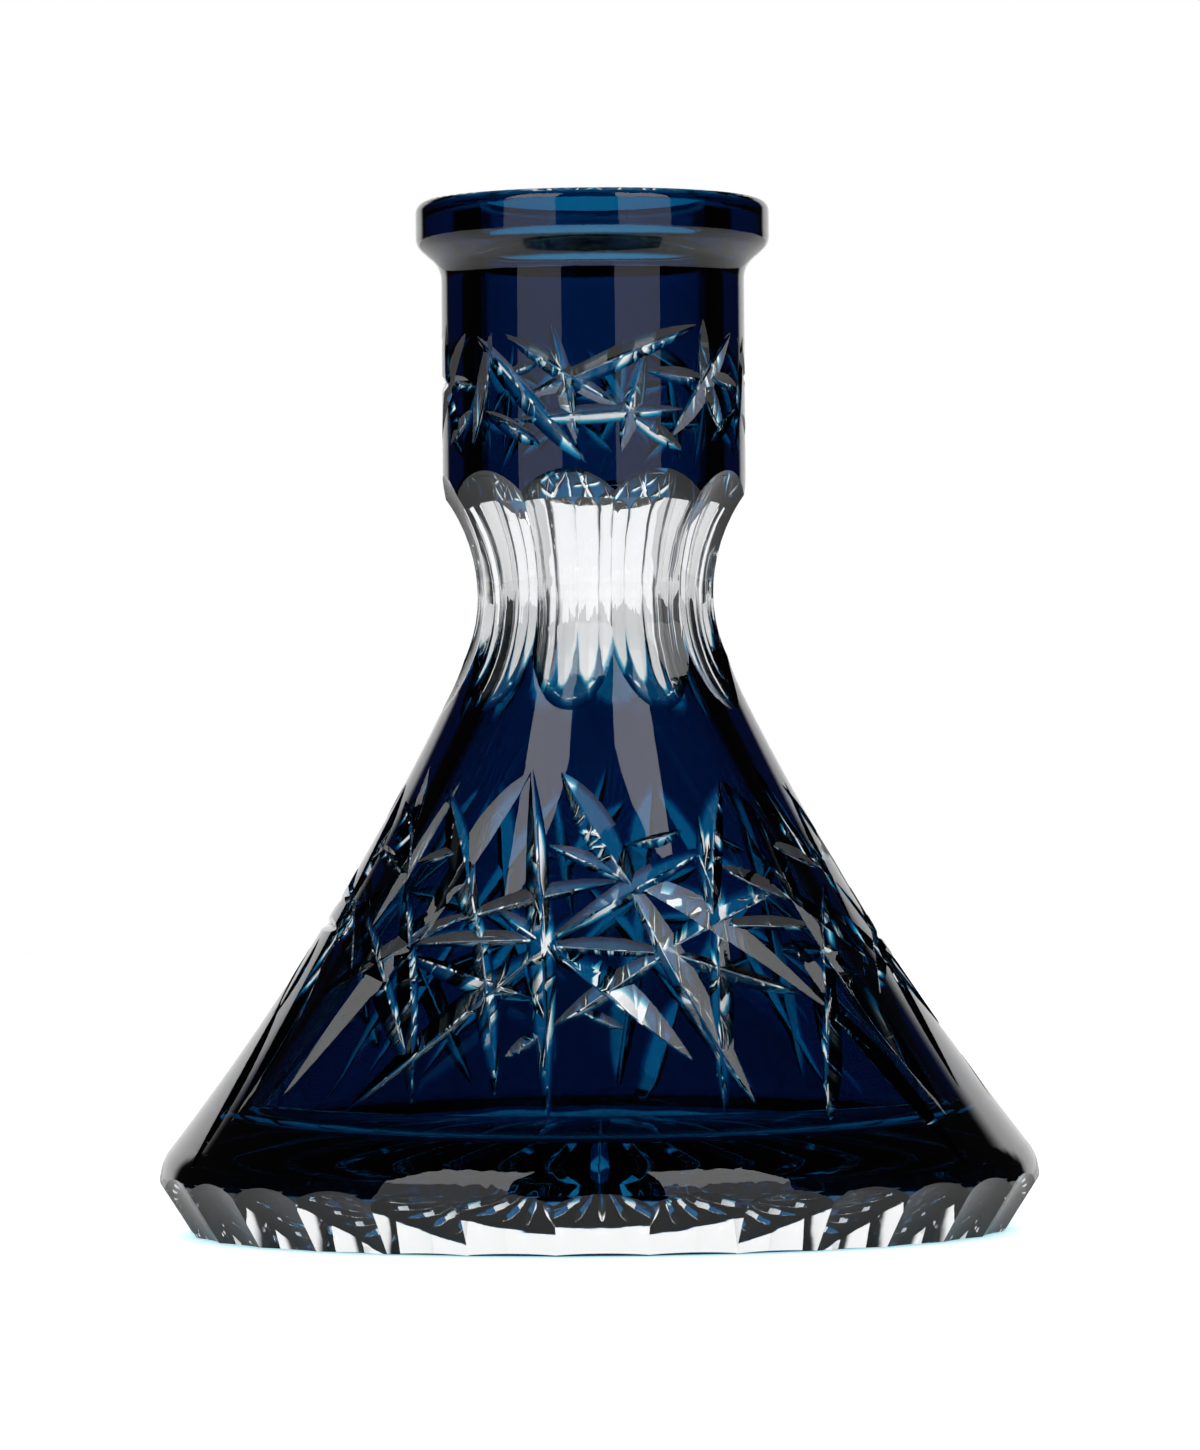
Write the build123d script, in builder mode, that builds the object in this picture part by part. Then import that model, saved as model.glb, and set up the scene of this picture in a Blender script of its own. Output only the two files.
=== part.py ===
from build123d import *
from math import atan2, cos, degrees, radians, sin, sqrt, tan
import os

# A cut crystal vase in millimetres: +Z up, on its own axis, standing on z = 0.
# Clear crystal is blown inside a thin coloured layer, and wheel cuts go
# through the colour into the clear glass. Azimuth 0 is the front (-Y) and
# azimuth grows towards +X.

# Overall sizes
total_height = 240.0
foot_radius = 102.5
collar_radius = 35.4
lip_radius = 41.3

# Levels, each a length of its own. The cone takes what is left of the height.
foot_height = 20.7
shoulder_height = 12.6
shoulder_inset = 3.2
waist_length = 48.1
collar_length = 53.8
lip_slope_height = 5.2
lip_height = 10.2

# Outer form
cone_top_radius = 35.3
cone_hollow = 3.0
waist_blank_radius = 29.5
lip_hollow_round = 6.0
lip_edge_round = 4.0
rim_round = 2.6

# The inside
bore_radius = 26.3
throat_radius = 19.8
cone_wall = 9.0
floor_thickness = 20.0
floor_corner = 5.0
bore_mouth_round = 2.0

# The coloured layer
overlay = 0.8

# Waist flutes
flute_count = 10
flute_phase = -10.3
flute_radius = 25.6
flute_crown = 38.0
flute_level = 25.3
flute_rise_radius = 45.4
flute_fall_radius = 40.0
flute_turn = 52.0

# Foot scallops
scallop_count = 30
scallop_phase = 0.3
scallop_crown = 55.0
scallop_slope = 32.0
scallop_top = 14.2
scallop_stand = 3.1
scallop_length = 22.0

# The underside
rest_inner_radius = 86.0
dish_radius = 84.0
dish_edge_height = 1.5
dish_rise = 3.0
star_rays = 32
star_inner_radius = 5.0
star_margin = 6.0
star_depth = 1.7
dimple_radius = 4.0
dimple_depth = 1.6

# Mitre cuts: half angles of the wheel, measured from its middle plane
even_flank = 56.0
wide_flank = 68.0
steep_flank = 26.0
crease_width = 0.45
cut_clearance = 1.8
cut_overrun = 1.02
sector_count = 3
cuts_per_pass = 11

# Crumbs of glass smaller than this volume fall off the wheel
smallest_island = 0.5

# One sector of the cone's cuts: azimuth and height of the two ends, the depth
# in the middle, and the side with the wide flank (1 right or above, -1 left or
# below, 0 even). Heights are in percent of the cone.
cone_cuts = [
    (-20, 85, -7, 8, 2.1, 0),
    (-20, 84, -39, 44, 2.2, -1),
    (-34, 56, -53, 13, 2.3, -1),
    (-49, 81, -24, 47, 2.2, 0),
    (-27, 55, -15, 14, 1.7, 0),
    (-44, 82, -54, 49, 1.2, 0),
    (-10.5, 84, 9, 57, 2.8, 0),
    (6, 62, 22.5, 12, 2.3, 0),
    (39, 82, 24, 49, 2.3, -1),
    (28, 58, 17.5, 9, 1.8, 0),
    (39.5, 82, 49, 52, 2.5, 1),
    (45, 66, 57, 7, 1.7, 0),
    (51, 46, 57.5, 9, 1.9, 1),
    (-49, 59, -27.5, 12, 1.8, 0),
    (-62, 54, -29, 18, 1.9, 0),
    (-60, 34, -28, 53, 1.5, 0),
    (-32, 51, 5, 60, 1.5, 0),
    (-38.5, 10, -9, 47, 2.0, 0),
    (-11, 46, 28.5, 67, 1.8, 0),
    (-12, 68, 10, 59, 1.3, 0),
    (-8, 28, 14, 45, 1.7, 0),
    (10, 43, 46, 58, 1.7, 1),
    (-22, 54, -3, 41, 1.4, 0),
    (-9, 45, 14.5, 21, 2.2, 1),
    (-40, 44, -10, 34, 1.6, -1),
    (-41, 46, -8, 47, 1.3, 0),
    (-11, 46, 15, 44, 1.5, 0),
    (23, 50, 52, 49, 1.2, 0),
    (30, 63, 48, 55, 1.4, 0),
    (12, 45, 38, 35, 1.6, -1),
    (7, 60, 44, 30, 2.0, 1),
    (42.5, 33, 54.5, -5, 2.1, 1),
    (41, 47, 45, 30, 1.5, 1),
    (64, 59, 42, 30, 1.6, 0),
    (48, 38, 33, 7, 1.8, 0),
    (8, 68, 22, 71, 1.0, -1),
    (-14.5, 22, -9, 28, 1.1, 0),
    (-3, 32, 4, 28, 0.9, 0),
    (48, 68, 67, 62, 1.2, 0),
    (-49, 64, -31, 68, 1.0, 0),
    (-70, 78, -49, 60, 2.0, 0),
    (56, 86, 66, 62, 1.2, 0),
    (43, 59, 67, 40, 1.5, 0),
]

# One sector of the collar's cuts, in the same form. Heights are in percent of
# the collar.
collar_cuts = [
    (-34.5, 67, 11, 35, 1.4, 0),
    (-16, 72, -6, 20, 1.4, 0),
    (-26, 41, 42, 71, 1.7, 0),
    (-33, 51, -21, 55, 0.9, 0),
    (20, 60, 10, 17, 1.6, 0),
    (-31, 31, 35, 35, 1.4, 0),
    (-49, 67, -3, 13, 1.6, 0),
    (-45, 35, -20, 20, 1.2, 0),
    (12, 33, 35, 18, 1.3, 0),
    (45.5, 74, 46.5, 44, 1.2, 0),
    (44, 52, 58, 25, 1.4, 0),
    (20, 51, 48, 48, 1.2, 0),
    (30, 24, 64, 69, 1.6, 0),
    (48, 50, 70, 46, 1.1, 0),
    (50, 22, 67, 36, 1.0, 0),
    (-41, 69, -52, 21, 1.3, 0),
]

cone_top = total_height - lip_height - lip_slope_height - collar_length - waist_length
collar_base = cone_top + waist_length
collar_top = collar_base + collar_length
lip_base = collar_top + lip_slope_height
cone_base_radius = foot_radius - shoulder_inset
cone_height = cone_top - foot_height


with BuildLine() as cone_line:
    SagittaArc((cone_base_radius, foot_height), (cone_top_radius, cone_top), cone_hollow)
cone_centre = cone_line.edge().arc_center
cone_arc_radius = cone_line.edge().radius


def cone_radius(height, depth=0.0):
    """Radius of the cone's outside, or of the surface a depth inside it."""
    return cone_centre.X - sqrt((cone_arc_radius + depth) ** 2 - (height - cone_centre.Y) ** 2)


def outer_lines(inset=0.0):
    """The blank's outside from the foot's edge up to the rim, or the same outline a depth inside."""
    foot = foot_radius - inset
    shoulder = cone_radius(foot_height, inset)
    cone_middle = (foot_height + cone_top) / 2
    cone_end = cone_radius(cone_top, inset)
    collar = collar_radius - inset
    lip = lip_radius - inset
    Line((foot, 0), (foot, shoulder_height))
    ThreePointArc(
        (foot, shoulder_height),
        (foot - 0.25 * shoulder_inset, (shoulder_height + foot_height) / 2),
        (shoulder, foot_height),
    )
    ThreePointArc(
        (shoulder, foot_height),
        (cone_radius(cone_middle, inset), cone_middle),
        (cone_end, cone_top),
    )
    ThreePointArc(
        (cone_end, cone_top),
        (waist_blank_radius - inset, (cone_top + collar_base) / 2),
        (collar, collar_base),
    )
    FilletPolyline(
        (collar, collar_base),
        (collar, collar_top),
        (lip, lip_base),
        (lip, total_height),
        radius=[lip_hollow_round + inset, lip_edge_round - inset],
    )


def cone_wall_at(azimuth, height):
    """A point on the cone's outside, and the outward direction there."""
    radius = cone_radius(height)
    slope = (height - cone_centre.Y) / (cone_centre.X - radius)
    east = sin(radians(azimuth))
    south = cos(radians(azimuth))
    return Vector(radius * east, -radius * south, height), Vector(east, -south, -slope).normalized()


def collar_wall_at(azimuth, height):
    """A point on the collar's outside, and the outward direction there."""
    outward = Vector(sin(radians(azimuth)), -cos(radians(azimuth)), 0)
    return outward * collar_radius + Vector(0, 0, height), outward


def wheel_cut(start, end, bottom, outward, depth, left, right):
    """The solid a mitre wheel takes away, its crease an arc from start through bottom to end."""
    middle = (start + end) / 2
    half_chord = (end - start).length / 2
    across = outward.cross(end - start).normalized()
    up = (end - start).cross(across).normalized()
    sag = (bottom - middle).dot(up)
    radius = (half_chord**2 + sag**2) / (2 * sag)
    hub = middle + up * (sag - radius)
    turn = cut_overrun * degrees(atan2(half_chord, abs(radius) - abs(sag)))
    first = up.rotate(Axis((0, 0, 0), across), -turn)
    rise = depth + cut_clearance
    flat = crease_width / 2
    with BuildPart() as cut:
        with BuildSketch(Plane(origin=hub + first * radius, x_dir=across, z_dir=across.cross(first))):
            with BuildLine():
                Polyline(
                    (-flat, 0),
                    (flat, 0),
                    (flat + rise * tan(radians(right)), rise),
                    (-flat - rise * tan(radians(left)), rise),
                    close=True,
                )
            make_face()
        revolve(axis=Axis(hub, across), revolution_arc=2 * turn)
    return cut.part


def cut_between(wall_at, base, span, pattern, turned):
    """One mitre cut of a pattern, on a wall, turned about the axis by an angle."""
    start_azimuth, start_level, end_azimuth, end_level, depth, lean = pattern
    start = wall_at(start_azimuth + turned, base + span * start_level / 100)[0]
    end = wall_at(end_azimuth + turned, base + span * end_level / 100)[0]
    azimuth = (start_azimuth + end_azimuth) / 2 + turned
    height = base + span * (start_level + end_level) / 200
    for _ in range(4):
        middle, outward = wall_at(azimuth, height)
        side = outward.cross(end - start).normalized()
        off_plane = (middle - start).dot(side)
        round_wall = Vector(cos(radians(azimuth)), sin(radians(azimuth)), 0)
        azimuth -= degrees(off_plane * side.dot(round_wall) / Vector(middle.X, middle.Y).length)
        height -= off_plane * side.Z
    left = {-1: wide_flank, 0: even_flank, 1: steep_flank}[lean]
    right = {-1: steep_flank, 0: even_flank, 1: wide_flank}[lean]
    return wheel_cut(start, end, middle - outward * depth, outward, depth, left, right)


def sector_passes(wall_at, base, span, patterns):
    """A pattern's cuts on every sector of a wall, in passes of a few cuts each."""
    passes = []
    for sector in range(sector_count):
        turned = sector * 360 / sector_count
        cuts = [cut_between(wall_at, base, span, pattern, turned) for pattern in patterns]
        passes += [cuts[first : first + cuts_per_pass] for first in range(0, len(cuts), cuts_per_pass)]
    return passes


def flute_cuts():
    """The waist's flutes: a crowned wheel, rising to the collar and falling to the cone."""
    level = cone_top + flute_level
    width = 2 * collar_radius * tan(radians(180 / flute_count)) + 2
    crown_rise = flute_crown - sqrt(flute_crown**2 - (width / 2) ** 2)
    cuts = []
    for number in range(flute_count):
        azimuth = radians(flute_phase + number * 360 / flute_count)
        outward = Vector(sin(azimuth), -cos(azimuth), 0)
        across = Vector(cos(azimuth), sin(azimuth), 0)
        with BuildPart() as flute:
            for arc_radius, turn in ((flute_rise_radius, flute_turn), (flute_fall_radius, -flute_turn)):
                with BuildSketch(Plane(origin=(0, 0, level), x_dir=outward, z_dir=(0, 0, 1))):
                    with BuildLine():
                        ThreePointArc(
                            (flute_radius + crown_rise, -width / 2),
                            (flute_radius, 0),
                            (flute_radius + crown_rise, width / 2),
                        )
                        Polyline(
                            (flute_radius + crown_rise, width / 2),
                            (collar_radius + 8, width / 2),
                            (collar_radius + 8, -width / 2),
                            (flute_radius + crown_rise, -width / 2),
                        )
                    make_face()
                hub = outward * (flute_radius + arc_radius) + Vector(0, 0, level)
                revolve(axis=Axis(hub, across), revolution_arc=turn)
        cuts.append(flute.part)
    return cuts


def scallop_cuts():
    """The foot's scallops: a crowned wheel run up the slanting flank."""
    cuts = []
    width = 2 * foot_radius * tan(radians(180 / scallop_count)) + 2
    flank_radius = cone_base_radius + scallop_stand
    for number in range(scallop_count):
        azimuth = radians(scallop_phase + number * 360 / scallop_count)
        outward = Vector(sin(azimuth), -cos(azimuth), 0)
        across = Vector(cos(azimuth), sin(azimuth), 0)
        lean = radians(scallop_slope)
        upward = outward * sin(lean) + Vector(0, 0, cos(lean))
        touch = outward * flank_radius + Vector(0, 0, scallop_top)
        with BuildPart() as scallop:
            with BuildSketch(Plane(origin=touch, x_dir=across, z_dir=upward)):
                with Locations((0, -scallop_crown)):
                    Circle(scallop_crown)
                Rectangle(width, 2 * width, mode=Mode.INTERSECT)
            extrude(amount=scallop_length, both=True)
        cuts.append(scallop.part)
    return cuts


def star_cuts():
    """The underside's star: one leaf-shaped mitre cut for each ray."""
    outer = dish_radius - star_margin
    mid = (star_inner_radius + outer) / 2
    cuts = []
    for number in range(star_rays):
        azimuth = radians(number * 360 / star_rays)
        outward = Vector(sin(azimuth), -cos(azimuth), 0)
        start = outward * star_inner_radius + Vector(0, 0, dish_height(star_inner_radius))
        end = outward * outer + Vector(0, 0, dish_height(outer))
        bottom = outward * mid + Vector(0, 0, dish_height(mid) + star_depth)
        down = Vector(0, 0, -1)
        cuts.append(wheel_cut(start, end, bottom, down, star_depth, even_flank, even_flank))
    return cuts


def dish_height(radius):
    """Height of the hollow underside at a radius."""
    return dish_edge_height + dish_rise * (1 - (radius / dish_radius) ** 2)


def take_away(part, passes):
    """A part after passes of wheel cuts, without the crumbs that they leave."""
    for cuts in passes:
        with BuildPart() as worked:
            add(part)
            add(cuts, mode=Mode.SUBTRACT, clean=False)
        part = worked.part
    return part.solids().sort_by(SortBy.VOLUME)[-1]


# The blown blank, before the wheel
with BuildPart() as blank:
    with BuildSketch(Plane.XZ):
        with BuildLine():
            outer_lines()
            Polyline((lip_radius, total_height), (0, total_height), (0, 0), (foot_radius, 0))
        make_face()
    revolve(axis=Axis.Z)
    fillet(blank.edges().group_by(Axis.Z)[-1], radius=rim_round)

# The clear glass inside the colour, solid, and longer than the blank at both ends
with BuildPart() as core:
    with BuildSketch(Plane.XZ):
        with BuildLine():
            outer_lines(overlay)
            Polyline(
                (lip_radius - overlay, total_height),
                (lip_radius - overlay, total_height + 1),
                (0, total_height + 1),
                (0, -1),
                (foot_radius - overlay, -1),
                (foot_radius - overlay, 0),
            )
        make_face()
    revolve(axis=Axis.Z)

# The inside: floor, cone, throat, bore and the rounded mouth
throat_level = (cone_top + collar_base) / 2
with BuildPart() as cavity:
    with BuildSketch(Plane.XZ) as cavity_section:
        with BuildLine():
            ThreePointArc(
                (cone_radius(floor_thickness, cone_wall), floor_thickness),
                (cone_radius((floor_thickness + cone_top) / 2, cone_wall), (floor_thickness + cone_top) / 2),
                (cone_radius(cone_top, cone_wall), cone_top),
            )
            ThreePointArc(
                (cone_radius(cone_top, cone_wall), cone_top),
                (throat_radius, throat_level),
                (bore_radius, collar_base),
            )
            FilletPolyline(
                (bore_radius, collar_base),
                (bore_radius, total_height),
                (bore_radius + 2 * bore_mouth_round, total_height),
                radius=bore_mouth_round,
            )
            Polyline(
                (bore_radius + 2 * bore_mouth_round, total_height),
                (bore_radius + 2 * bore_mouth_round, total_height + 5),
                (0, total_height + 5),
                (0, floor_thickness),
                (cone_radius(floor_thickness, cone_wall), floor_thickness),
            )
        make_face()
        fillet(cavity_section.vertices().sort_by(Axis.X)[-1], radius=floor_corner)
    revolve(axis=Axis.Z)

# The hollow underside, down to the clear glass
with BuildPart() as underside:
    with BuildSketch(Plane.XZ):
        with BuildLine():
            ThreePointArc(
                (0, dish_height(0) + overlay),
                (dish_radius / 2, dish_height(dish_radius / 2) + overlay),
                (dish_radius, dish_height(dish_radius) + overlay),
            )
            Polyline(
                (dish_radius, dish_height(dish_radius) + overlay),
                (dish_radius, dish_edge_height),
                (rest_inner_radius, 0),
                (rest_inner_radius, -5),
                (0, -5),
                (0, dish_height(0) + overlay),
            )
        make_face()
    revolve(axis=Axis.Z)

with BuildPart() as dimple:
    dimple_ball = (dimple_radius**2 + dimple_depth**2) / (2 * dimple_depth)
    with Locations((0, 0, dish_height(dimple_radius) + dimple_depth - dimple_ball)):
        Sphere(dimple_ball)

star = star_cuts()
collar_passes = sector_passes(collar_wall_at, collar_base, collar_length, collar_cuts)
cone_passes = sector_passes(cone_wall_at, foot_height, cone_height, cone_cuts)
cut_blank = take_away(blank.part, [flute_cuts(), scallop_cuts()] + collar_passes + cone_passes)
os.makedirs("parts", exist_ok=True)

# crystal_body: the clear lead crystal, hollow and cut all over
with BuildPart() as crystal_body:
    add(core.part)
    add(cavity.part, mode=Mode.SUBTRACT)
    add(underside.part, mode=Mode.SUBTRACT)
    add(dimple.part, mode=Mode.SUBTRACT)
    add(star, mode=Mode.SUBTRACT, clean=False)
    add(cut_blank, mode=Mode.INTERSECT, clean=False)
crystal_body.part.label = "crystal_body"
export_step(crystal_body.part, "parts/crystal_body.step")

# The coloured layer on the outside, in as many islands as the wheel has left
with BuildPart() as colour:
    add(cut_blank)
    add(core.part, mode=Mode.SUBTRACT, clean=False)
islands = [solid for solid in colour.solids() if solid.volume > smallest_island]

# neck_casing: the coloured layer on the lip and the collar
with BuildPart() as neck_casing:
    add(islands)
    split(bisect_by=Plane.XY.offset(throat_level), keep=Keep.TOP)
neck_casing.part.label = "neck_casing"
export_step(neck_casing.part, "parts/neck_casing.step")

# cone_casing: the coloured layer on the cone, parted by the cuts
with BuildPart() as cone_casing:
    add(islands)
    split(bisect_by=Plane.XY.offset(throat_level), keep=Keep.BOTTOM)
cone_casing.part.label = "cone_casing"
export_step(cone_casing.part, "parts/cone_casing.step")

# foot_casing: the coloured layer in the hollow of the underside
with BuildPart() as foot_casing:
    with BuildSketch(Plane.XZ):
        with BuildLine():
            ThreePointArc(
                (0, dish_height(0)),
                (dish_radius / 2, dish_height(dish_radius / 2)),
                (dish_radius, dish_height(dish_radius)),
            )
            Line((dish_radius, dish_height(dish_radius)), (dish_radius, dish_height(dish_radius) + overlay))
            ThreePointArc(
                (dish_radius, dish_height(dish_radius) + overlay),
                (dish_radius / 2, dish_height(dish_radius / 2) + overlay),
                (0, dish_height(0) + overlay),
            )
            Line((0, dish_height(0) + overlay), (0, dish_height(0)))
        make_face()
    revolve(axis=Axis.Z)
    add(star, mode=Mode.SUBTRACT)
    add(dimple.part, mode=Mode.SUBTRACT)
foot_casing.part.label = "foot_casing"
export_step(foot_casing.part, "parts/foot_casing.step")
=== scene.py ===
import math

import bmesh
import bpy
import numpy as np
from mathutils import Matrix, Vector
from mathutils.bvhtree import BVHTree


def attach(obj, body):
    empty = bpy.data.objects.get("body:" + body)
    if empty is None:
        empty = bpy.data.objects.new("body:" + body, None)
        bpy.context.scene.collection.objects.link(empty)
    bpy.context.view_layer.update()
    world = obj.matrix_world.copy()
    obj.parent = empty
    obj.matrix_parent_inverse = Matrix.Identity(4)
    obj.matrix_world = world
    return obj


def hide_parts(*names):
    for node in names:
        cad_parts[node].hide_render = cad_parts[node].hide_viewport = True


# A cut crystal vase: a clear crystal body under a thin blue layer. All sizes
# are in metres, in the frame of the CAD model, with the front at -Y.
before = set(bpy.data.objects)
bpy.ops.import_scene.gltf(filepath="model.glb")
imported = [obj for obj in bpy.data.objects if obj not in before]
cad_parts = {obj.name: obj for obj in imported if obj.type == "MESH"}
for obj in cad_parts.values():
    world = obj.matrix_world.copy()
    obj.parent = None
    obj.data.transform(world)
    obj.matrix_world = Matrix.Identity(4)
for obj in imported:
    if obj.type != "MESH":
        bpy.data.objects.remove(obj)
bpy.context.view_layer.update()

BODY = "root"
CRYSTAL_IOR = 1.545

# The walls that a lathe-true glass surface follows
FOOT_RADIUS = 0.0993
FOOT_LEVEL = 0.0207
CONE_TOP_RADIUS = 0.0353
CONE_TOP_LEVEL = 0.1227
CONE_HOLLOW = 0.003
CONE_WALL = 0.009
COLLAR_RADIUS = 0.0354
BORE_RADIUS = 0.0263
LIP_RADIUS = 0.0413
WALL_TOLERANCE = 0.00003

# The blue glass: what it lets through, and how strongly it takes the rest
BLUE_ABSORPTION = (0.004, 0.614, 0.757, 1)
BLUE_DENSITY = 7800.0

# The marks of hand polishing: how fine they are (a noise scale) and how high
CLEAR_RIPPLE = (45.0, 0.00004)
BLUE_RIPPLE = (40.0, 0.00003)
GRAIN = (900.0, 0.0000008)
GRAIN_ROUGHNESS = 0.02

# How meshes are read. Agreement is the cosine of the angle between two normals.
WELD = 1e-6
NO_LENGTH = 1e-12
NO_AREA = 1e-20
NO_RADIUS = 1e-9
CONTACT_GAP = 0.00012
CONTACT_SEARCH = 3 * CONTACT_GAP
CONTACT_AGREEMENT = -0.9
CONTACT_LIFT = 0.00001
LEVEL_TOLERANCE = 1e-5
WALL_AGREEMENT = 0.97
SMOOTH_ANGLE = math.radians(20)
CREASE_WIDTH = 0.00047
CREASE_LENGTH = 0.0012
CREASE_AGREEMENT = 0.6

# The floor, the blue light painted on it under the vase, and how much reflections dim it
FLOOR_RADIUS = 3.0
FLOOR_LEVEL = -0.0002
UNDER_VASE = (0.107, 0.09)
UNDER_VASE_LIGHT = (0.3, 0.62, 0.72, 1)
FLOOR_DIMMING = 0.75

# The backdrop: from dark to lit over a turn away from +Y, or over the height (a sine) of a direction
MIRRORED_TURN = (math.radians(36), math.radians(28))
MIRRORED_HEIGHT = (0.45, 0.33)
MIRRORED_REST = 0.01
THROUGH_TURN = (math.radians(70), math.radians(42))
THROUGH_HEIGHT = (0.95, 0.6)
THROUGH_REST = 0.1
BRIGHTER_HEIGHT = (0.12, 0.32)
BRIGHTER_BY = 0.8

# The softboxes: azimuths from the front, and each band's lowest and highest level and radiance
SOFTBOX_AZIMUTHS = {"left": -41, "right": 34}
SOFTBOX_BANDS = {"low": (-0.1, 0.7, 0.8), "high": (0.7, 2.3, 2.6)}
SOFTBOX_WIDTH = 0.95
SOFTBOX_DISTANCE = 1.5

# The camera
CAMERA_DISTANCE = 1.6
CAMERA_HEIGHT = 0.1
CAMERA_AIM = Vector((0.0009, 0.0, 0.1177))
CAMERA_ROLL = math.radians(0.45)
CAMERA_LENS = 170.1


def cone_arc():
    """Centre (r, z) and radius of the hollow arc that the cone's outside follows."""
    low = Vector((FOOT_RADIUS, FOOT_LEVEL))
    high = Vector((CONE_TOP_RADIUS, CONE_TOP_LEVEL))
    chord = high - low
    radius = ((chord.length / 2) ** 2 + CONE_HOLLOW**2) / (2 * CONE_HOLLOW)
    inward = Vector((-chord.y, chord.x)).normalized()
    if inward.x > 0:
        inward = -inward
    return (low + high) / 2 + inward * CONE_HOLLOW - inward * radius, radius


def welded(node):
    """A copy of a CAD node's mesh with its faces joined along their edges."""
    work = bmesh.new()
    work.from_mesh(node.data)
    bmesh.ops.remove_doubles(work, verts=work.verts, dist=WELD)
    bmesh.ops.dissolve_degenerate(work, dist=WELD, edges=work.edges)
    bmesh.ops.triangulate(work, faces=work.faces)
    return work


def tree_of(works):
    """One search tree over several meshes."""
    points = []
    faces = []
    for work in works:
        base = len(points)
        work.verts.index_update()
        points += [v.co.copy() for v in work.verts]
        faces += [[base + v.index for v in f.verts] for f in work.faces]
    return BVHTree.FromPolygons(points, faces)


def contact_faces(work, tree):
    """The faces that lie on the other glass, which face each other across no gap."""
    found = []
    work.normal_update()
    for face in work.faces:
        place, normal, _, gap = tree.find_nearest(face.calc_center_median(), CONTACT_SEARCH)
        if place is not None and gap < CONTACT_GAP and face.normal.dot(normal) < CONTACT_AGREEMENT:
            found.append(face)
    return found


def wall_normals(points, facing_out):
    """Exact outward normals where points lie on a turned wall, and which points do."""
    centre, radius = cone_arc()
    r = np.hypot(points[:, 0], points[:, 1])
    z = points[:, 2]
    safe = np.maximum(r, NO_RADIUS)
    radial = np.stack([points[:, 0] / safe, points[:, 1] / safe], axis=1)
    to_centre = np.hypot(centre.x - r, centre.y - z)
    result = np.zeros((len(points), 3))
    on_wall = np.zeros(len(points), bool)
    in_cone = (z > FOOT_LEVEL - LEVEL_TOLERANCE) & (z < CONE_TOP_LEVEL + LEVEL_TOLERANCE)
    offset = 0.0 if facing_out else CONE_WALL
    cone = in_cone & (np.abs(to_centre - radius - offset) < WALL_TOLERANCE)
    result[cone, :2] = radial[cone] * ((centre.x - r) / to_centre)[cone, None]
    result[cone, 2] = ((centre.y - z) / to_centre)[cone]
    on_wall |= cone
    straight = (COLLAR_RADIUS, LIP_RADIUS) if facing_out else (BORE_RADIUS,)
    for wall_radius in straight:
        tube = (z > CONE_TOP_LEVEL) & (np.abs(r - wall_radius) < WALL_TOLERANCE)
        result[tube, :2] = radial[tube]
        result[tube, 2] = 0
        on_wall |= tube
    if not facing_out:
        result = -result
    return result, on_wall


def mesh_arrays(mesh):
    """The points of a triangle mesh, and the three corners of each face."""
    points = np.zeros(len(mesh.vertices) * 3)
    mesh.vertices.foreach_get("co", points)
    corners = np.zeros(len(mesh.polygons) * 3, np.int64)
    mesh.loops.foreach_get("vertex_index", corners)
    return points.reshape(-1, 3), corners.reshape(-1, 3)


def face_shapes(points, corners):
    """Each face's double area and normal, and whether it is a sliver along the bottom of a cut."""
    a, b, c = points[corners[:, 0]], points[corners[:, 1]], points[corners[:, 2]]
    cross = np.cross(b - a, c - a)
    double_area = np.linalg.norm(cross, axis=1)
    normal = cross / np.maximum(double_area, NO_AREA)[:, None]
    sides = [np.linalg.norm(end - start, axis=1) for start, end in ((a, b), (b, c), (c, a))]
    sides = np.stack(sides, axis=1)
    sides.sort(axis=1)
    height = double_area / np.maximum(sides[:, 2], NO_LENGTH)
    crease = (sides[:, 0] < CREASE_WIDTH) & (height < CREASE_WIDTH) & (sides[:, 2] > CREASE_LENGTH)
    return double_area, normal, crease


def turned_walls(points, corners, normal):
    """Outside and inside: the exact normals of the points, and which faces lie on a turned wall."""
    walls = []
    for facing_out in (True, False):
        exact, on_wall = wall_normals(points, facing_out)
        agreement = (exact[corners].mean(axis=1) * normal).sum(axis=1)
        walls.append((exact, on_wall[corners].all(axis=1) & (agreement > WALL_AGREEMENT)))
    return walls


def faces_around(count, corners):
    """The faces that meet at each point."""
    around = [[] for _ in range(count)]
    for index, face in enumerate(corners):
        for vertex in face:
            around[vertex].append(index)
    return [np.array(faces, np.int64) for faces in around]


def smooth_normals(mesh):
    """Sets corner normals: exact on turned walls, rounded over creases, and soft over small angles."""
    points, corners = mesh_arrays(mesh)
    double_area, normal, crease = face_shapes(points, corners)
    walls = turned_walls(points, corners, normal)
    is_wall = walls[0][1] | walls[1][1]
    crease &= ~is_wall
    around = faces_around(len(points), corners)
    result = np.zeros((len(corners), 3, 3))
    limit = math.cos(SMOOTH_ANGLE)
    for index in range(len(corners)):
        for corner in range(3):
            faces = around[corners[index, corner]]
            close = normal[faces] @ normal[index]
            if crease[index]:
                usable = faces[~crease[faces] & ~is_wall[faces] & (close > CREASE_AGREEMENT)]
                if len(usable):
                    result[index, corner] = normal[usable[np.argmax(double_area[usable])]]
                    continue
            chosen = faces[(close > limit) & ~crease[faces]]
            if len(chosen) == 0:
                chosen = np.array([index])
            total = (normal[chosen] * double_area[chosen, None]).sum(axis=0)
            size = np.linalg.norm(total)
            result[index, corner] = total / size if size > 0 else normal[index]
    for exact, flat in walls:
        result[flat] = exact[corners[flat]]
    mesh.polygons.foreach_set("use_smooth", np.ones(len(corners), bool))
    mesh.normals_split_custom_set(result.reshape(-1, 3).tolist())


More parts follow.
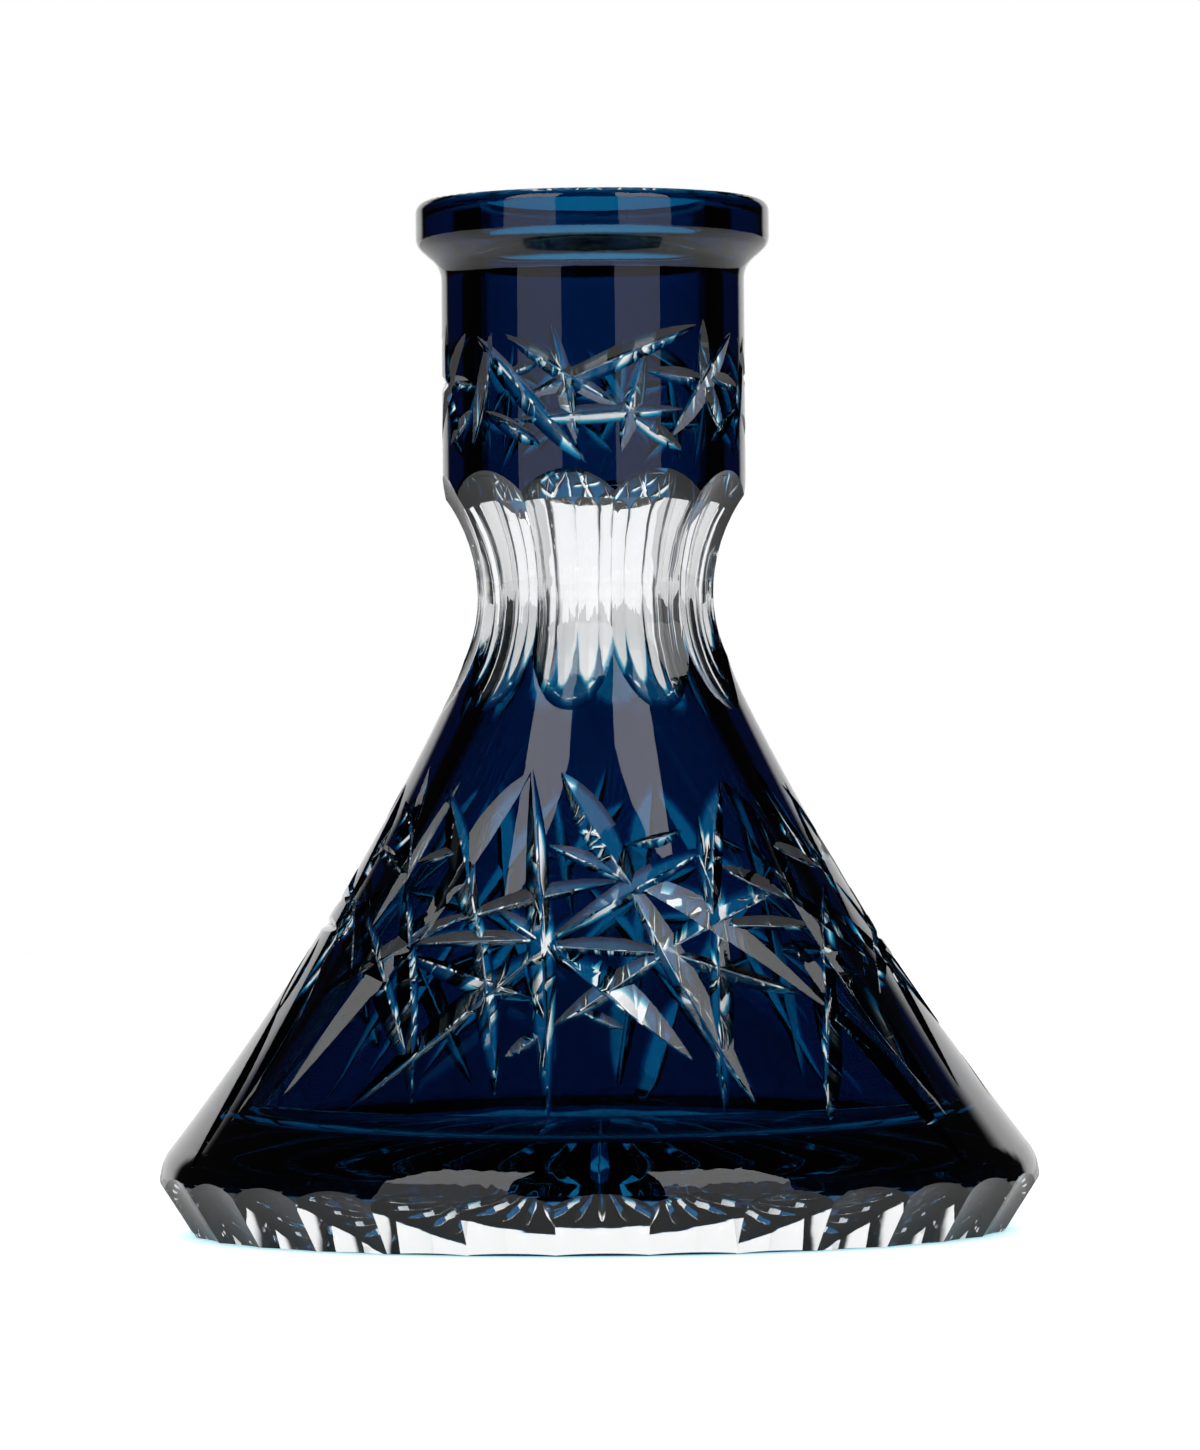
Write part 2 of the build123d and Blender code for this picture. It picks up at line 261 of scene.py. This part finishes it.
def glass_piece(name, node_name, work, touching, material, lift):
    """A finished piece of glass from a CAD node. It marks the faces that lie on the other glass, and
    lift draws them a hair away from it."""
    fused = np.zeros(len(work.faces), bool)
    work.faces.index_update()
    steps = {}
    for face in touching:
        fused[face.index] = True
        for v in face.verts:
            steps[v] = face.normal.copy()
    if lift:
        for v, step in steps.items():
            v.co -= step * CONTACT_LIFT
    mesh = bpy.data.meshes.new(name)
    work.to_mesh(mesh)
    work.free()
    free_face = mesh.attributes.new("free_face", "FLOAT", "FACE")
    free_face.data.foreach_set("value", np.where(fused, 0.0, 1.0))
    mesh.materials.append(material)
    smooth_normals(mesh)
    piece = bpy.data.objects.new(name, mesh)
    bpy.context.scene.collection.objects.link(piece)
    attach(piece, BODY)
    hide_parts(node_name)
    return piece


def new_material(name):
    material = bpy.data.materials.new(name)
    material.use_nodes = True
    nodes = material.node_tree.nodes
    links = material.node_tree.links
    return material, nodes, links, nodes["Principled BSDF"], nodes["Material Output"]


def polish(nodes, links, shader, ripple_scale, ripple_height):
    """The marks of hand polishing: slow ripples and a very fine grain."""
    place = nodes.new("ShaderNodeTexCoord")
    ripple = nodes.new("ShaderNodeTexNoise")
    ripple.inputs["Scale"].default_value = ripple_scale
    ripple.inputs["Detail"].default_value = 2.0
    links.new(place.outputs["Object"], ripple.inputs["Vector"])
    grain = nodes.new("ShaderNodeTexNoise")
    grain_scale, grain_height = GRAIN
    grain.inputs["Scale"].default_value = grain_scale
    grain.inputs["Detail"].default_value = 3.0
    links.new(place.outputs["Object"], grain.inputs["Vector"])
    low = nodes.new("ShaderNodeBump")
    low.inputs["Distance"].default_value = ripple_height
    low.inputs["Strength"].default_value = 1.0
    links.new(ripple.outputs["Fac"], low.inputs["Height"])
    high = nodes.new("ShaderNodeBump")
    high.inputs["Distance"].default_value = grain_height
    high.inputs["Strength"].default_value = 1.0
    links.new(grain.outputs["Fac"], high.inputs["Height"])
    links.new(low.outputs["Normal"], high.inputs["Normal"])
    links.new(high.outputs["Normal"], shader.inputs["Normal"])
    spread = nodes.new("ShaderNodeMapRange")
    spread.inputs["From Min"].default_value = 0.3
    spread.inputs["From Max"].default_value = 0.8
    spread.inputs["To Min"].default_value = 0.0
    spread.inputs["To Max"].default_value = GRAIN_ROUGHNESS
    links.new(grain.outputs["Fac"], spread.inputs["Value"])
    links.new(spread.outputs["Result"], shader.inputs["Roughness"])


def unseen_when_fused(nodes, links, shader):
    """Faces where the two glasses are fused neither bend nor reflect light."""
    free_face = nodes.new("ShaderNodeAttribute")
    free_face.attribute_name = "free_face"
    links.new(free_face.outputs["Fac"], shader.inputs["Alpha"])


def clear_crystal():
    material, nodes, links, shader, _ = new_material("clear_crystal")
    shader.inputs["Base Color"].default_value = (0.985, 0.995, 1.0, 1)
    shader.inputs["Transmission Weight"].default_value = 1.0
    shader.inputs["IOR"].default_value = CRYSTAL_IOR
    polish(nodes, links, shader, *CLEAR_RIPPLE)
    unseen_when_fused(nodes, links, shader)
    return material


def blue_crystal():
    material, nodes, links, shader, output = new_material("blue_crystal")
    shader.inputs["Base Color"].default_value = (1, 1, 1, 1)
    shader.inputs["Transmission Weight"].default_value = 1.0
    shader.inputs["IOR"].default_value = CRYSTAL_IOR
    polish(nodes, links, shader, *BLUE_RIPPLE)
    unseen_when_fused(nodes, links, shader)
    volume = nodes.new("ShaderNodeVolumeAbsorption")
    volume.inputs["Color"].default_value = BLUE_ABSORPTION
    volume.inputs["Density"].default_value = BLUE_DENSITY
    links.new(volume.outputs["Volume"], output.inputs["Volume"])
    return material


def make_vase():
    works = {name: welded(node) for name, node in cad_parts.items()}
    casings = [name for name in works if name != "crystal_body"]
    body_tree = tree_of([works["crystal_body"]])
    casing_tree = tree_of([works[name] for name in casings])
    clear = clear_crystal()
    blue = blue_crystal()
    touching = {name: contact_faces(works[name], body_tree) for name in casings}
    touching["crystal_body"] = contact_faces(works["crystal_body"], casing_tree)
    for name in sorted(works):
        is_body = name == "crystal_body"
        material = clear if is_body else blue
        piece = glass_piece("cut_" + name, name, works[name], touching[name], material, not is_body)


def math_node(nodes, links, operation, a, b=None):
    node = nodes.new("ShaderNodeMath")
    node.operation = operation
    for slot, value in enumerate((a, b)):
        if value is None:
            continue
        if isinstance(value, (int, float)):
            node.inputs[slot].default_value = value
        else:
            links.new(value, node.inputs[slot])
    return node.outputs[0]


def soft_step(nodes, links, value, start, end):
    """0 before start, 1 after end, for start below or above end."""
    node = nodes.new("ShaderNodeMapRange")
    node.interpolation_type = "SMOOTHSTEP"
    node.inputs["From Min"].default_value = min(start, end)
    node.inputs["From Max"].default_value = max(start, end)
    node.inputs["To Min"].default_value = 0.0 if start < end else 1.0
    node.inputs["To Max"].default_value = 1.0 if start < end else 0.0
    links.new(value, node.inputs["Value"])
    return node.outputs["Result"]


def make_floor():
    """A pale floor, painted under the vase with the blue light that the glass would throw there."""
    bpy.ops.mesh.primitive_circle_add(
        vertices=128, radius=FLOOR_RADIUS, fill_type="NGON", location=(0, 0, FLOOR_LEVEL)
    )
    floor = bpy.context.object
    floor.name = "floor"
    material, nodes, links, shader, _ = new_material("pale_floor")
    shader.inputs["Base Color"].default_value = (0.8, 0.8, 0.8, 1)
    shader.inputs["Roughness"].default_value = 0.6
    place = nodes.new("ShaderNodeTexCoord")
    reach = nodes.new("ShaderNodeVectorMath")
    reach.operation = "LENGTH"
    links.new(place.outputs["Object"], reach.inputs[0])
    under = soft_step(nodes, links, reach.outputs["Value"], *UNDER_VASE)
    glow = nodes.new("ShaderNodeMix")
    glow.data_type = "RGBA"
    links.new(under, glow.inputs["Factor"])
    glow.inputs["A"].default_value = (1.0, 1.0, 1.0, 1)
    glow.inputs["B"].default_value = UNDER_VASE_LIGHT
    links.new(glow.outputs["Result"], shader.inputs["Emission Color"])
    path = nodes.new("ShaderNodeLightPath")
    dim = math_node(nodes, links, "MULTIPLY", path.outputs["Is Glossy Ray"], -FLOOR_DIMMING)
    strength = math_node(nodes, links, "ADD", dim, 1.0)
    links.new(strength, shader.inputs["Emission Strength"])
    floor.data.materials.append(material)


def make_world():
    """A backdrop that the camera sees evenly white. Reflections find it dark except behind the vase, and
    light through the glass finds it wider, and brighter higher up."""
    world = bpy.data.worlds.new("studio")
    bpy.context.scene.world = world
    world.use_nodes = True
    nodes = world.node_tree.nodes
    links = world.node_tree.links
    background = nodes["Background"]
    background.inputs["Color"].default_value = (1, 1, 1, 1)
    place = nodes.new("ShaderNodeTexCoord")
    split = nodes.new("ShaderNodeSeparateXYZ")
    links.new(place.outputs["Generated"], split.inputs["Vector"])
    turn = math_node(nodes, links, "ARCTAN2", split.outputs["X"], split.outputs["Y"])
    turn = math_node(nodes, links, "ABSOLUTE", turn)
    behind = soft_step(nodes, links, turn, *MIRRORED_TURN)
    low = soft_step(nodes, links, split.outputs["Z"], *MIRRORED_HEIGHT)
    mirrored = math_node(nodes, links, "MULTIPLY", behind, low)
    mirrored = math_node(nodes, links, "ADD", mirrored, MIRRORED_REST)
    beside = soft_step(nodes, links, turn, *THROUGH_TURN)
    below_lamps = soft_step(nodes, links, split.outputs["Z"], *THROUGH_HEIGHT)
    through = math_node(nodes, links, "MULTIPLY", beside, below_lamps)
    raised = soft_step(nodes, links, split.outputs["Z"], *BRIGHTER_HEIGHT)
    raised = math_node(nodes, links, "MULTIPLY", raised, BRIGHTER_BY)
    raised = math_node(nodes, links, "ADD", raised, 1.0)
    through = math_node(nodes, links, "MULTIPLY", through, raised)
    through = math_node(nodes, links, "ADD", through, THROUGH_REST)
    path = nodes.new("ShaderNodeLightPath")
    in_glass = nodes.new("ShaderNodeMix")
    in_glass.data_type = "FLOAT"
    links.new(path.outputs["Is Glossy Ray"], in_glass.inputs["Factor"])
    links.new(through, in_glass.inputs["A"])
    links.new(mirrored, in_glass.inputs["B"])
    strength = nodes.new("ShaderNodeMix")
    strength.data_type = "FLOAT"
    links.new(path.outputs["Is Camera Ray"], strength.inputs["Factor"])
    links.new(in_glass.outputs["Result"], strength.inputs["A"])
    strength.inputs["B"].default_value = 1.0
    links.new(strength.outputs["Result"], background.inputs["Strength"])


def softbox(name, azimuth, low, high, radiance):
    """An upright softbox at an azimuth from the front, which the camera doesn't see directly."""
    data = bpy.data.lights.new(name, "AREA")
    data.shape = "RECTANGLE"
    data.size = SOFTBOX_WIDTH
    data.size_y = high - low
    data.energy = radiance * math.pi * SOFTBOX_WIDTH * (high - low)
    light = bpy.data.objects.new(name, data)
    angle = math.radians(azimuth)
    away = SOFTBOX_DISTANCE
    light.location = (away * math.sin(angle), -away * math.cos(angle), (low + high) / 2)
    light.rotation_euler = (math.radians(90), 0, angle)
    light.visible_camera = False
    bpy.context.scene.collection.objects.link(light)


def make_lights():
    for side, azimuth in SOFTBOX_AZIMUTHS.items():
        for level, (low, high, radiance) in SOFTBOX_BANDS.items():
            softbox("softbox_" + side + "_" + level, azimuth, low, high, radiance)


def make_camera():
    data = bpy.data.cameras.new("camera")
    camera = bpy.data.objects.new("camera", data)
    bpy.context.scene.collection.objects.link(camera)
    place = Vector((0, -CAMERA_DISTANCE, CAMERA_HEIGHT))
    aim = (CAMERA_AIM - place).to_track_quat("-Z", "Y").to_matrix().to_4x4()
    camera.matrix_world = Matrix.Translation(place) @ aim @ Matrix.Rotation(-CAMERA_ROLL, 4, "Z")
    data.lens = CAMERA_LENS
    data.sensor_width = 36.0
    data.clip_start = 0.01
    data.clip_end = 50.0
    bpy.context.scene.camera = camera


def set_look():
    scene = bpy.context.scene
    scene.view_settings.view_transform = "Standard"
    scene.cycles.use_denoising = True
    scene.cycles.max_bounces = 32
    scene.cycles.transmission_bounces = 32
    scene.cycles.transparent_max_bounces = 48
    scene.cycles.glossy_bounces = 12
    scene.cycles.sample_clamp_indirect = 8.0


make_vase()
make_floor()
make_world()
make_lights()
make_camera()
set_look()
